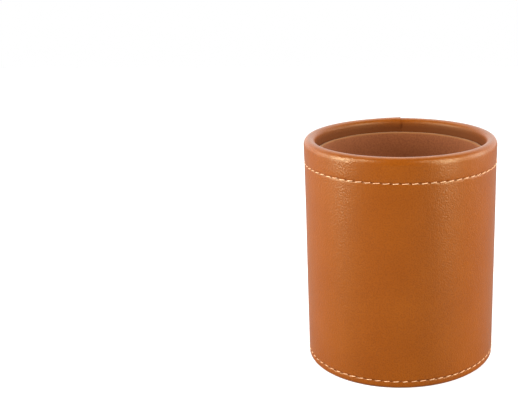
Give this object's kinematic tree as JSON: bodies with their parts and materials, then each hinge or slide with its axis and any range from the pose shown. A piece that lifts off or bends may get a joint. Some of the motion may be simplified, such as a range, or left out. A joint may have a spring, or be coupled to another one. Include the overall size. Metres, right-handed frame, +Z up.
{
  "type": "pen holder cup",
  "caption": "Round desk cup for pens: stitched leather cover over a stiff board tube, rolled rim, lined sleeve inside, lap seam at the back.",
  "frame": {"origin": "centre of the foot, on the table", "axes": "+Z up along the cup's axis, -Y the front, +Y the back with the cover's lap seam, +X to the right seen from the front"},
  "size_m": [0.0846, 0.0857, 0.1],
  "materials": {
    "cover_leather": "smooth fine-grained tan leather, satin",
    "lining_leather": "thin split lining leather, matt",
    "base_suede": "suede, napped",
    "greyboard": "pressed greyboard",
    "thread": "twisted polyester thread"
  },
  "bodies": {
    "root": {"outer_cover": "cover_leather", "core_tube": "greyboard", "base_cover": "base_suede", "base_board": "greyboard", "liner_card": "greyboard", "liner_facing": "lining_leather", "floor_card": "greyboard", "floor_lining": "lining_leather", "upper_needle_thread": "thread", "upper_bobbin_thread": "thread", "lower_needle_thread": "thread", "lower_bobbin_thread": "thread"}
  },
  "joints": []
}
